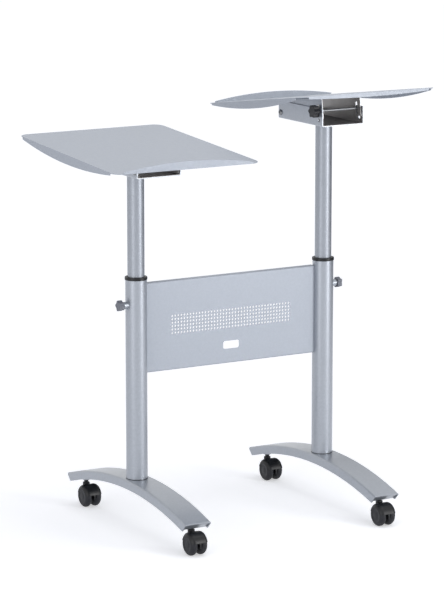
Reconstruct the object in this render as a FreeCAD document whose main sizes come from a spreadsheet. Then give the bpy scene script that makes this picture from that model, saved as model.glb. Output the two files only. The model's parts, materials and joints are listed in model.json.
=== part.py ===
import FreeCAD, Part
import math
import os

# Two-column multimedia table: a low shelf on the left and a high shelf on the
# right, each on a tilt bracket and a telescopic column. A perforated panel joins
# the columns, and two arched feet carry them on twin-wheel castors.
# Millimetres, +Z up, +X to the right, the user's side is -Y.

SIZES = [
    # columns
    ("column_gap", 488.0),
    ("outer_dia", 48.0),
    ("outer_wall", 2.0),
    ("outer_top", 567.0),
    ("inner_dia", 38.0),
    ("inner_wall", 2.0),
    ("inner_len", 430.0),
    ("left_height", 808.0),
    ("right_height", 885.0),
    # guide collars at the mouth of the outer tubes
    ("collar_dia", 50.5),
    ("collar_height", 7.0),
    ("collar_skirt", 36.0),
    ("collar_fit", 0.05),
    ("slide_play", 0.08),
    # column clamps
    ("clamp_drop", 56.0),
    ("boss_dia", 16.0),
    ("boss_len", 9.0),
    ("screw_dia", 8.0),
    ("screw_play", 0.05),
    ("screw_tip_gap", 0.4),
    ("clamp_knob_dia", 25.0),
    ("clamp_knob_len", 12.0),
    ("clamp_knob_gap", 1.5),
    # arched feet
    ("foot_len", 550.0),
    ("foot_width", 65.0),
    ("foot_apex", 116.0),
    ("foot_radius", 888.0),
    ("foot_depth", 20.0),
    ("foot_sheet", 2.5),
    ("foot_end_slope", 0.9),
    ("foot_bend", 4.5),
    ("socket_dia", 20.0),
    ("socket_low", 60.0),
    # castors
    ("castor_gap", 485.0),
    ("castor_trail", 16.0),
    ("castor_crown", 54.0),
    ("neck_dia", 16.0),
    ("stem_dia", 10.0),
    ("stem_play", 0.05),
    ("stem_top", 71.0),
    ("stem_end_gap", 1.0),
    ("wheel_dia", 50.0),
    ("wheel_width", 17.0),
    ("wheel_space", 14.0),
    ("wheel_face", 38.0),
    ("tread_arc", 9.5),
    ("wheel_cover", 2.5),
    ("axle_dia", 8.0),
    ("axle_play", 0.05),
    ("web_thick", 10.0),
    ("web_dia", 27.0),
    ("hood_gap", 1.2),
    ("hood_wall", 1.8),
    ("hood_low", 7.0),
    # perforated panel
    ("panel_top", 556.0),
    ("panel_height", 203.0),
    ("panel_sheet", 1.5),
    ("panel_fold", 14.0),
    ("panel_bend", 3.0),
    ("hole_dia", 4.5),
    ("hole_pitch", 7.8),
    ("field_width", 304.2),
    ("field_height", 39.0),
    ("field_drop", 100.0),
    ("slot_width", 42.0),
    ("slot_height", 18.0),
    ("slot_corner", 5.0),
    ("slot_drop", 161.0),
    # tilt brackets
    ("bracket_width", 110.0),
    ("bracket_fore", 80.5),
    ("bracket_aft", 106.0),
    ("bracket_sheet", 2.5),
    ("bracket_bend", 4.0),
    ("spare_inset", 14.5),
    ("cheek_height", 40.0),
    ("cheek_gap", 1.0),
    ("saddle_sheet", 2.0),
    ("saddle_fore", 76.5),
    ("saddle_aft", 102.0),
    ("saddle_low", 5.0),
    ("pivot_aft", 97.0),
    ("pivot_rise", 14.0),
    ("pivot_dia", 8.0),
    ("pivot_play", 0.05),
    ("pivot_head_dia", 13.0),
    ("pivot_head_len", 3.5),
    ("rod_fore", 60.0),
    ("rod_rise", 34.0),
    ("rod_dia", 6.0),
    ("rod_play", 0.5),
    ("rod_head_dia", 11.0),
    ("rod_head_len", 5.0),
    ("rod_side_gap", 1.0),
    ("tilt_min", 3.5),
    ("tilt_max", 11.5),
    ("tilt_left", 4.0),
    ("tilt_right", 8.0),
    ("tilt_knob_dia", 30.0),
    ("tilt_knob_len", 15.0),
    ("tilt_knob_play", 0.05),
    # shares and allowances
    ("past", 5.0),
    ("knob_hold", 0.7),
    ("rod_hold", 0.8),
    ("knob_bore", 0.85),
    ("scallop_reach", 1.2),
    ("scallop_size", 0.36),
    ("axle_end_gap", 1.0),
    # shelves
    ("shelf_width", 360.0),
    ("laptop_depth", 450.0),
    ("projector_depth", 410.0),
    ("shelf_sheet", 2.0),
    ("shelf_rise", 44.5),
    ("shelf_corner", 22.0),
    ("shelf_aft", 10.0),
    ("side_drop", 24.0),
    ("side_end", 7.0),
    ("lip_rise", 16.0),
    ("lip_end", 3.0),
    ("edge_drop", 10.0),
    ("edge_end", 6.0),
]

doc = FreeCAD.newDocument("multimedia_table")
sheet = doc.addObject("Spreadsheet::Sheet", "Dims")
for row, (alias, value) in enumerate(SIZES, start=1):
    sheet.set("A%d" % row, alias)
    sheet.set("B%d" % row, str(value))
    sheet.setAlias("B%d" % row, alias)
doc.recompute()

NODES = []
X_AXIS = FreeCAD.Rotation(FreeCAD.Vector(0, 1, 0), 90)
Y_AXIS = FreeCAD.Rotation(FreeCAD.Vector(1, 0, 0), -90)
Z_AXIS = FreeCAD.Rotation()


def size(alias):
    """The value of one driving dimension."""
    return float(getattr(sheet, alias))


def bind(obj, **exprs):
    """Tie properties to expressions; every bare word is an alias of the sheet."""
    for prop, expr in exprs.items():
        obj.setExpression(prop.replace("__", "."), expr)
    return obj


def d(text):
    """Write {alias} in an expression as a reference to the sheet."""
    return text.replace("{", "Dims.").replace("}", "")


def place(obj, at, turn=Z_AXIS):
    """Turn an object, then tie its base point to three expressions."""
    obj.Placement = FreeCAD.Placement(FreeCAD.Vector(), turn)
    for axis, expr in zip("xyz", at):
        obj.setExpression("Placement.Base." + axis, d(expr))
    return obj


def box(name, length, width, height, at):
    """A box whose lowest corner stands at the given expressions."""
    obj = doc.addObject("Part::Box", name)
    bind(obj, Length=d(length), Width=d(width), Height=d(height))
    return place(obj, at)


def rod(name, radius, length, at, turn=Z_AXIS):
    """A cylinder that starts at a point and runs along the turned axis."""
    obj = doc.addObject("Part::Cylinder", name)
    bind(obj, Radius=d(radius), Height=d(length))
    return place(obj, at, turn)


def ball(name, radius, at):
    """A full sphere."""
    obj = doc.addObject("Part::Sphere", name)
    bind(obj, Radius=d(radius))
    return place(obj, at)


def ring(name, middle, section, at):
    """A torus round the X axis: the radius of its middle line and of its section."""
    obj = doc.addObject("Part::Torus", name)
    bind(obj, Radius1=d(middle), Radius2=d(section))
    return place(obj, at, X_AXIS)


def fuse(name, *shapes):
    """One solid from several."""
    obj = doc.addObject("Part::MultiFuse", name)
    obj.Shapes = list(shapes)
    obj.Refine = True
    return obj


def common(name, *shapes):
    """What several solids share."""
    obj = doc.addObject("Part::MultiCommon", name)
    obj.Shapes = list(shapes)
    return obj


def cut(name, base, *tools):
    """A solid with one or more others taken out of it."""
    for number, tool in enumerate(tools, start=1):
        step = doc.addObject("Part::Cut", "%s_cut%d" % (name, number))
        step.Base = base
        step.Tool = tool
        base = step
    base.Refine = True
    return base


def near(value, target):
    """Whether two lengths are the same, but for rounding."""
    return abs(value - target) < 0.01


def rounded(name, base, *bends):
    """Round the edges of a fold: each bend is a radius and a test of an edge's points."""
    doc.recompute()
    edges = []
    for number, edge in enumerate(base.Shape.Edges, start=1):
        middle = (edge.FirstParameter + edge.LastParameter) / 2
        points = [edge.valueAt(at) for at in (edge.FirstParameter, middle, edge.LastParameter)]
        for radius, test in bends:
            if all(test(point) for point in points):
                edges.append((number, radius, radius))
    fillet = doc.addObject("Part::Fillet", name)
    fillet.Base = base
    fillet.Edges = edges
    return fillet


def node(obj, label, at=("0", "0", "0"), turn=Z_AXIS):
    """Name a finished sub-part, set it in its place and keep it for export."""
    obj.Label = label
    NODES.append(place(obj, at, turn))
    return obj


def column_x(side):
    """Expression for a column's place across the table."""
    return ("-" if side == "left" else "") + "{column_gap} / 2"


def turned(side):
    """The left bracket is the right one turned half round."""
    return FreeCAD.Rotation(FreeCAD.Vector(0, 0, 1), 180 if side == "left" else 0)


# feet and outer columns

def foot_cylinder(name, inset, width):
    """A cylinder along X, concentric with the arch of the foot."""
    at = ("-(%s) / 2" % width, "0", "{foot_apex} - {foot_radius}")
    return rod(name, "{foot_radius} - (%s)" % inset, width, at, X_AXIS)


def foot(side):
    """An arched channel, open below, with a castor socket near each end."""
    tag = "foot_" + side
    end_top = "({foot_apex} - {foot_radius} + sqrt({foot_radius}^2 - ({foot_len} / 2)^2))"
    ends = doc.addObject("Part::Wedge", tag + "_ends")
    low_half = "({foot_len} / 2 - %s * {foot_end_slope})" % end_top
    high_half = "({foot_len} / 2 + ({foot_apex} + {past} - %s) * {foot_end_slope})" % end_top
    bind(ends, Xmin=d("-{foot_width}"), Xmax=d("{foot_width}"),
         X2min=d("-{foot_width}"), X2max=d("{foot_width}"),
         Ymin="0", Ymax=d("{foot_apex} + {past}"),
         Zmin=d("-" + low_half), Zmax=d(low_half),
         Z2min=d("-" + high_half), Z2max=d(high_half))
    place(ends, ("0", "0", "0"), FreeCAD.Rotation(FreeCAD.Vector(1, 0, 0), 90))
    block = common(tag + "_block", foot_cylinder(tag + "_top", "0", "{foot_width}"), ends)
    channel = cut(tag + "_channel", block,
                  foot_cylinder(tag + "_under", "{foot_depth}", "{foot_width} + 2 * {past}"),
                  foot_cylinder(tag + "_inside", "{foot_sheet}",
                                "{foot_width} - 2 * {foot_sheet}"))
    half = size("foot_width") / 2
    sheet_metal = size("foot_sheet")

    def arch(point):
        """How far a point is from the axis of the arch."""
        return math.hypot(point.y, point.z - size("foot_apex") + size("foot_radius"))

    bent = rounded(tag + "_bent", channel,
                   (size("foot_bend"), lambda point: near(abs(point.x), half)
                    and near(arch(point), size("foot_radius"))),
                   (size("foot_bend") - sheet_metal,
                    lambda point: near(abs(point.x), half - sheet_metal)
                    and near(arch(point), size("foot_radius") - sheet_metal)))
    solids = [bent]
    bores = []
    for end, sign in (("front", "-"), ("rear", "")):
        at = ("0", sign + "{castor_gap} / 2")
        post = rod("%s_post_%s" % (tag, end), "{socket_dia} / 2", "{foot_apex} - {socket_low}",
                   at + ("{socket_low}",))
        limit = foot_cylinder("%s_limit_%s" % (tag, end), "{foot_sheet} / 2", "{foot_width}")
        solids.append(common("%s_socket_%s" % (tag, end), post, limit))
        bores.append(rod("%s_bore_%s" % (tag, end), "{stem_dia} / 2 + {stem_play}",
                         "{stem_top} + {stem_end_gap} - {socket_low} + {past}",
                         at + ("{socket_low} - {past}",)))
    whole = cut(tag + "_whole", fuse(tag + "_body", *solids), *bores)
    node(whole, tag, (column_x(side), "0", "0"))


def outer_tube(side):
    """The fixed tube: saddled on the foot's crown, with a threaded clamp boss."""
    tag = "outer_tube_" + side
    clamp_z = "{outer_top} - {clamp_drop}"
    length = "{outer_top} - {foot_apex} + {past}"
    start = ("0", "0", "{foot_apex} - {past}")
    outward = FreeCAD.Rotation(FreeCAD.Vector(0, 1, 0), -90 if side == "left" else 90)
    tube = rod(tag + "_skin", "{outer_dia} / 2", length, start)
    boss = rod(tag + "_boss", "{boss_dia} / 2", "{outer_dia} / 2 + {boss_len}",
               ("0", "0", clamp_z), outward)
    thread = rod(tag + "_thread", "{screw_dia} / 2 + {screw_play}",
                 "{outer_dia} / 2 + {boss_len} + {past}", ("0", "0", clamp_z), outward)
    bore = rod(tag + "_bore", "{outer_dia} / 2 - {outer_wall}", length + " + 2 * {past}",
               ("0", "0", "{foot_apex} - 2 * {past}"))
    notch = foot_cylinder(tag + "_notch", "0", "{outer_dia} + 2 * {past}")
    whole = cut(tag + "_whole", fuse(tag + "_body", tube, boss), bore, notch, thread)
    node(whole, tag, (column_x(side), "0", "0"))


def guide_collar(side):
    """The plastic ring in the tube's mouth that the inner tube slides in."""
    tag = "guide_collar_" + side
    rim = rod(tag + "_rim", "{collar_dia} / 2", "{collar_height}", ("0", "0", "{outer_top}"))
    skirt = rod(tag + "_skirt", "{outer_dia} / 2 - {outer_wall} - {collar_fit}",
                "{collar_skirt} + {collar_height} / 2",
                ("0", "0", "{outer_top} - {collar_skirt}"))
    bore = rod(tag + "_bore", "{inner_dia} / 2 + {slide_play}",
               "{collar_skirt} + {collar_height} + 2 * {past}",
               ("0", "0", "{outer_top} - {collar_skirt} - {past}"))
    node(cut(tag + "_whole", fuse(tag + "_body", rim, skirt), bore), tag,
         (column_x(side), "0", "0"))


def inner_tube(side):
    """The sliding tube, from inside the outer tube up to the bracket."""
    tag = "inner_tube_" + side
    foot_z = "{%s_height} - {inner_len}" % side
    skin = rod(tag + "_skin", "{inner_dia} / 2", "{inner_len}", ("0", "0", foot_z))
    bore = rod(tag + "_bore", "{inner_dia} / 2 - {inner_wall}", "{inner_len} + 2 * {past}",
               ("0", "0", foot_z + " - {past}"))
    node(cut(tag + "_whole", skin, bore), tag, (column_x(side), "0", "0"))


def star(tag, radius, length, lobes):
    """A star grip along +X from the origin: a disc with scallops round its rim."""
    grip = rod(tag + "_disc", radius, length, ("0", "0", "0"), X_AXIS)
    scallops = []
    for lobe in range(lobes):
        angle = 360.0 * (lobe + 0.5) / lobes
        reach = "(%s) * {scallop_reach}" % radius
        at = ("-{past}", "%s * cos(%s deg)" % (reach, angle), "%s * sin(%s deg)" % (reach, angle))
        scallops.append(rod("%s_scallop%d" % (tag, lobe), "(%s) * {scallop_size}" % radius,
                            "%s + 2 * {past}" % length, at, X_AXIS))
    return cut(tag + "_grip", grip, fuse(tag + "_scallops", *scallops))


def column_clamp(side):
    """The clamp screw in its boss and the star knob on its outer end."""
    outward = FreeCAD.Rotation(FreeCAD.Vector(0, 0, 1), 180 if side == "left" else 0)
    seat = (column_x(side), "0", "{outer_top} - {clamp_drop}")
    tip = "{inner_dia} / 2 + {screw_tip_gap} + {screw_dia} / 2"
    knob_from = "{outer_dia} / 2 + {boss_len} + {clamp_knob_gap}"
    reach = knob_from + " + {clamp_knob_len} * {knob_hold}"
    tag = "clamp_screw_" + side
    screw = rod(tag + "_shank", "{screw_dia} / 2", "%s - (%s)" % (reach, tip),
                (tip, "0", "0"), X_AXIS)
    node(fuse(tag + "_whole", screw, ball(tag + "_tip", "{screw_dia} / 2", (tip, "0", "0"))),
         tag, seat, outward)
    tag = "clamp_knob_" + side
    grip = star(tag, "{clamp_knob_dia} / 2", "{clamp_knob_len}", 5)
    place(grip, (knob_from, "0", "0"))
    hole = rod(tag + "_hole", "{screw_dia} / 2", reach, ("0", "0", "0"), X_AXIS)
    node(cut(tag + "_whole", grip, hole), tag, seat, outward)


# panel between the columns

def hole_grid():
    """The perforations: eight-sided pins on a square grid."""
    pitch = size("hole_pitch")
    columns = int(round(size("field_width") / pitch)) + 1
    rows = int(round(size("field_height") / pitch)) + 1
    radius = size("hole_dia") / 2
    depth = size("panel_sheet") + size("past")
    middle = size("panel_top") - size("field_drop")
    pins = []
    for column in range(columns):
        for line in range(rows):
            x = (column - (columns - 1) / 2) * pitch
            z = middle + (line - (rows - 1) / 2) * pitch
            corners = []
            for step in range(9):
                angle = math.radians(45 * step + 22.5)
                corners.append(FreeCAD.Vector(x + radius * math.cos(angle), -depth / 2,
                                              z + radius * math.sin(angle)))
            face = Part.Face(Part.makePolygon(corners))
            pins.append(face.extrude(FreeCAD.Vector(0, depth, 0)))
    grid = doc.addObject("Part::Feature", "panel_perforation")
    grid.Shape = Part.makeCompound(pins)
    return grid


def panel():
    """The sheet between the columns: folded long edges, perforation, cable slot."""
    width = "{column_gap} - {outer_dia}"
    left = "-(%s) / 2" % width
    low = "{panel_top} - {panel_height}"
    face = box("panel_face", width, "{panel_sheet}", "{panel_height}",
               (left, "-{panel_sheet} / 2", low))
    folds = []
    for name, height in (("top", "{panel_top} - {panel_sheet}"), ("low", low)):
        folds.append(box("panel_fold_" + name, width, "{panel_fold}", "{panel_sheet}",
                         (left, "-{panel_sheet} / 2", height)))
    slot_z = "{panel_top} - {slot_drop}"
    thick = "{panel_sheet} + {past}"
    bars = [box("slot_bar_wide", "{slot_width}", thick, "{slot_height} - 2 * {slot_corner}",
                ("-{slot_width} / 2", "-(%s) / 2" % thick,
                 slot_z + " - {slot_height} / 2 + {slot_corner}")),
            box("slot_bar_tall", "{slot_width} - 2 * {slot_corner}", thick, "{slot_height}",
                ("-{slot_width} / 2 + {slot_corner}", "-(%s) / 2" % thick,
                 slot_z + " - {slot_height} / 2"))]
    for number, (sx, sz) in enumerate(((-1, -1), (-1, 1), (1, -1), (1, 1))):
        at = ("%d * ({slot_width} / 2 - {slot_corner})" % sx, "-(%s) / 2" % thick,
              "%s + %d * ({slot_height} / 2 - {slot_corner})" % (slot_z, sz))
        bars.append(rod("slot_corner%d" % number, "{slot_corner}", thick, at, Y_AXIS))
    sheet_metal = fuse("panel_sheet_metal", face, *folds)
    top = size("panel_top")
    gauge = size("panel_sheet")
    foot_line = top - size("panel_height")
    bent = rounded("panel_bent", sheet_metal,
                   (size("panel_bend"), lambda point: near(point.y, -gauge / 2)
                    and (near(point.z, top) or near(point.z, foot_line))),
                   (size("panel_bend") - gauge, lambda point: near(point.y, gauge / 2)
                    and (near(point.z, top - gauge) or near(point.z, foot_line + gauge))))
    node(cut("panel_whole", bent, fuse("panel_slot", *bars), hole_grid()), "panel")


# tilt brackets and shelves, in the frame of the bracket: origin on the column
# axis at the bracket's underside, pivot towards +Y, clamp rod towards -Y

def channel_bends(tag, base, width, gauge, height, inner_height):
    """Round the two long folds of a channel, outside and inside."""
    outside = size("bracket_bend")
    return rounded(tag + "_bent", base,
                   (outside, lambda point: near(abs(point.x), width / 2)
                    and near(point.z, height)),
                   (outside - gauge, lambda point: near(abs(point.x), width / 2 - gauge)
                    and near(point.z, inner_height)))


def lower_bracket(side):
    """The channel on the column's top: pivot holes at both ends, clamp rod holes fore."""
    tag = "lower_bracket_" + side
    length = "{bracket_fore} + {bracket_aft}"
    block = box(tag + "_block", "{bracket_width}", length, "{cheek_height}",
                ("-{bracket_width} / 2", "-{bracket_fore}", "0"))
    inside = box(tag + "_inside", "{bracket_width} - 2 * {bracket_sheet}", length + " + 2 * {past}",
                 "{cheek_height}",
                 ("-{bracket_width} / 2 + {bracket_sheet}", "-{bracket_fore} - {past}",
                  "{bracket_sheet}"))
    gauge = size("bracket_sheet")
    bent = channel_bends(tag, cut(tag + "_channel", block, inside), size("bracket_width"),
                         gauge, 0, gauge)
    across = "{bracket_width} + 4 * {past}"
    left = "-(%s) / 2" % across
    pivot = rod(tag + "_pivot", "{pivot_dia} / 2", across,
                (left, "{pivot_aft}", "{pivot_rise}"), X_AXIS)
    spare = rod(tag + "_spare", "{pivot_dia} / 2", across,
                (left, "{spare_inset} - {bracket_fore}", "{pivot_rise}"), X_AXIS)
    clamp = rod(tag + "_clamp", "{rod_dia} / 2", across,
                (left, "-{rod_fore}", "{rod_rise}"), X_AXIS)
    node(cut(tag + "_whole", bent, pivot, spare, clamp), tag,
         (column_x(side), "0", "{%s_height}" % side), turned(side))


def tilt_pivot(side):
    """The bolt across the bracket that the saddle swings on."""
    tag = "tilt_pivot_" + side
    half = "{bracket_width} / 2"
    parts = [rod(tag + "_shank", "{pivot_dia} / 2", "{bracket_width}",
                 ("-" + half, "{pivot_aft}", "{pivot_rise}"), X_AXIS)]
    for end, start in (("a", "-%s - {pivot_head_len}" % half), ("b", half)):
        parts.append(rod("%s_head_%s" % (tag, end), "{pivot_head_dia} / 2", "{pivot_head_len}",
                         (start, "{pivot_aft}", "{pivot_rise}"), X_AXIS))
    node(fuse(tag + "_whole", *parts), tag,
         (column_x(side), "0", "{%s_height}" % side), turned(side))


# pieces that tilt are drawn with their origin on the pivot

def tray_seat(side):
    """Where a tilting piece's origin, the pivot, stands and how it is turned."""
    turn = turned(side).multiply(FreeCAD.Rotation(FreeCAD.Vector(1, 0, 0), -size("tilt_" + side)))
    sign = "-" if side == "left" else ""
    at = (column_x(side), sign + "{pivot_aft}", "{%s_height} + {pivot_rise}" % side)
    return at, turn


def tilt_slot(tag, across):
    """The curved slots of the saddle: an arc about the pivot with a round at each end."""
    left = "-(%s) / 2" % across
    half = "({rod_dia} / 2 + {rod_play})"
    reach = "({pivot_aft} + {rod_fore})"
    rise = "({rod_rise} - {pivot_rise})"
    lever = "sqrt(%s^2 + %s^2)" % (reach, rise)
    at_pivot = (left, "0", "0")
    track = cut(tag + "_track", rod(tag + "_far", lever + " + " + half, across, at_pivot, X_AXIS),
                rod(tag + "_near", lever + " - " + half, across, at_pivot, X_AXIS))
    ends = {}
    for end, tilt in (("top", "({tilt_min} * 1 deg)"), ("low", "({tilt_max} * 1 deg)")):
        ends[end] = ("-(%s * cos%s + %s * sin%s)" % (reach, tilt, rise, tilt),
                     "(%s * cos%s - %s * sin%s)" % (rise, tilt, reach, tilt))
    low_z = ends["low"][1]
    window = box(tag + "_window", across, "{rod_fore}", "%s - %s" % (ends["top"][1], low_z),
                 (left, "-%s - 2 * {past}" % lever, low_z))
    rounds = [rod("%s_slot_%s" % (tag, end), half, across, (left,) + at, X_AXIS)
              for end, at in ends.items()]
    return fuse(tag + "_slot", common(tag + "_arc", track, window), *rounds)


def saddle(side):
    """The inverted channel under the shelf, inside the lower bracket's cheeks.

    Its low edge lies along the bracket's floor when the shelf is at its lowest tilt.
    """
    tag = "saddle_" + side
    width = "{bracket_width} - 2 * {bracket_sheet} - 2 * {cheek_gap}"
    length = "{saddle_fore} + {saddle_aft}"
    fore = "-{saddle_fore} - {pivot_aft}"
    low = "{saddle_low} - {pivot_rise}"
    lean = "({tilt_min} * 1 deg)"
    deepest = "(%s - ({saddle_fore} + {pivot_aft}) * tan%s - {past})" % (low, lean)
    rise = "({shelf_rise} - {pivot_rise} - %s)" % deepest
    block = box(tag + "_block", width, length, rise, ("-(%s) / 2" % width, fore, deepest))
    inner = "%s - 2 * {saddle_sheet}" % width
    inside = box(tag + "_inside", inner, length + " + 2 * {past}",
                 rise + " - {saddle_sheet} + {past}",
                 ("-(%s) / 2" % inner, fore + " - {past}", deepest + " - {past}"))
    ahead = "({saddle_fore} + {pivot_aft} + 4 * {past})"
    under = box(tag + "_under", width + " + 2 * {past}", ahead + " + {saddle_aft}",
                "{cheek_height}", ("0", "0", "0"))
    place(under, ("-(%s) / 2 - {past}" % width,
                  "{cheek_height} * sin%s - %s * cos%s" % (lean, ahead, lean),
                  "%s - {cheek_height} * cos%s - %s * sin%s" % (low, lean, ahead, lean)),
          FreeCAD.Rotation(FreeCAD.Vector(1, 0, 0), size("tilt_min")))
    gauge = size("saddle_sheet")
    wide = size("bracket_width") - 2 * size("bracket_sheet") - 2 * size("cheek_gap")
    top = size("shelf_rise") - size("pivot_rise")
    bent = channel_bends(tag, cut(tag + "_channel", block, inside), wide, gauge, top, top - gauge)
    pivot = rod(tag + "_pivot", "{pivot_dia} / 2 + {pivot_play}", "{bracket_width}",
                ("-{bracket_width} / 2", "0", "0"), X_AXIS)
    node(cut(tag + "_whole", bent, under, pivot, tilt_slot(tag, "{bracket_width}")), tag,
         *tray_seat(side))


def tilt_clamp(side):
    """The clamp rod through the bracket and the saddle's slots, with a star knob."""
    y = "-{rod_fore}"
    z = "{rod_rise}"
    seat = ((column_x(side), "0", "{%s_height}" % side), turned(side))
    side_x = "{bracket_width} / 2 + {rod_side_gap}"
    tag = "tilt_rod_" + side
    shank = rod(tag + "_shank", "{rod_dia} / 2", "%s + %s + {tilt_knob_len} * {rod_hold}"
                % (side_x, side_x), ("-(%s) - {tilt_knob_len} * {rod_hold}" % side_x, y, z), X_AXIS)
    head = rod(tag + "_head", "{rod_head_dia} / 2", "{rod_head_len}", (side_x, y, z), X_AXIS)
    node(fuse(tag + "_whole", shank, head), tag, *seat)
    tag = "tilt_knob_" + side
    grip = star(tag, "{tilt_knob_dia} / 2", "{tilt_knob_len}", 6)
    place(grip, ("-(%s) - {tilt_knob_len}" % side_x, y, z))
    hole = rod(tag + "_hole", "{rod_dia} / 2 + {tilt_knob_play}",
               "{tilt_knob_len} * {knob_bore} + {past}",
               ("-(%s) - {tilt_knob_len} * {knob_bore}" % side_x, y, z), X_AXIS)
    node(cut(tag + "_whole", grip, hole), tag, *seat)


def crescent(tag, slab, along, span, deep, ends, base_z, downward, middle):
    """A flange with a straight fold line and a bowed free edge."""
    sag = "({%s} - {%s})" % (deep, ends)
    bow = "(((%s) / 2)^2 + %s^2) / (2 * %s)" % (span, sag, sag)
    if downward:
        height = "%s - {%s} + %s" % (base_z, deep, bow)
    else:
        height = "%s + {%s} - (%s)" % (base_z, deep, bow)
    if along == "y":
        disc = rod(tag + "_bow", bow, "{shelf_width} * 2", ("-{shelf_width}", middle, height), X_AXIS)
    else:
        disc = rod(tag + "_bow", bow, "{shelf_width} * 4",
                   ("0", "%s - {shelf_width} * 2" % middle, height), Y_AXIS)
    return common(tag, slab, disc)


def shelf(side):
    """A flat sheet with bowed side flanges, a stop lip aft and a low edge fore."""
    name = "laptop" if side == "left" else "projector"
    tag = name + "_shelf"
    depth = "{%s_depth}" % name
    mid = "({shelf_aft} - {pivot_aft})"
    fore = "(%s - %s / 2)" % (mid, depth)
    low = "({shelf_rise} - {pivot_rise})"
    top = "(%s + {shelf_sheet})" % low
    long_x = "({shelf_width} - 2 * {shelf_corner})"
    long_y = "(%s - 2 * {shelf_corner})" % depth
    parts = [box(tag + "_wide", "{shelf_width}", long_y, "{shelf_sheet}",
                 ("-{shelf_width} / 2", fore + " + {shelf_corner}", low)),
             box(tag + "_deep", long_x, depth, "{shelf_sheet}",
                 ("-%s / 2" % long_x, fore, low))]
    for number, (sx, sy) in enumerate(((-1, -1), (-1, 1), (1, -1), (1, 1))):
        parts.append(rod("%s_corner%d" % (tag, number), "{shelf_corner}", "{shelf_sheet}",
                         ("%d * %s / 2" % (sx, long_x), "%s + %d * %s / 2" % (mid, sy, long_y),
                          low)))
    for end, x in (("left", "-{shelf_width} / 2"), ("right", "{shelf_width} / 2 - {shelf_sheet}")):
        slab = box("%s_side_%s_slab" % (tag, end), "{shelf_sheet}", long_y, "{side_drop}",
                   (x, fore + " + {shelf_corner}", top + " - {side_drop}"))
        parts.append(crescent("%s_side_%s" % (tag, end), slab, "y", long_y, "side_drop",
                              "side_end", top, True, mid))
    slab = box(tag + "_lip_slab", long_x, "{shelf_sheet}", "{lip_rise} + {shelf_sheet}",
               ("-%s / 2" % long_x, mid + " + %s / 2 - {shelf_sheet}" % depth, low))
    parts.append(crescent(tag + "_lip", slab, "x", long_x, "lip_rise", "lip_end", top, False, mid))
    slab = box(tag + "_edge_slab", long_x, "{shelf_sheet}", "{edge_drop}",
               ("-%s / 2" % long_x, fore, top + " - {edge_drop}"))
    parts.append(crescent(tag + "_edge", slab, "x", long_x, "edge_drop", "edge_end", top, True, mid))
    node(fuse(tag + "_whole", *parts), tag, *tray_seat(side))


# castors, drawn with the stem on the origin and the wheels trailing towards -Y

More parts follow.
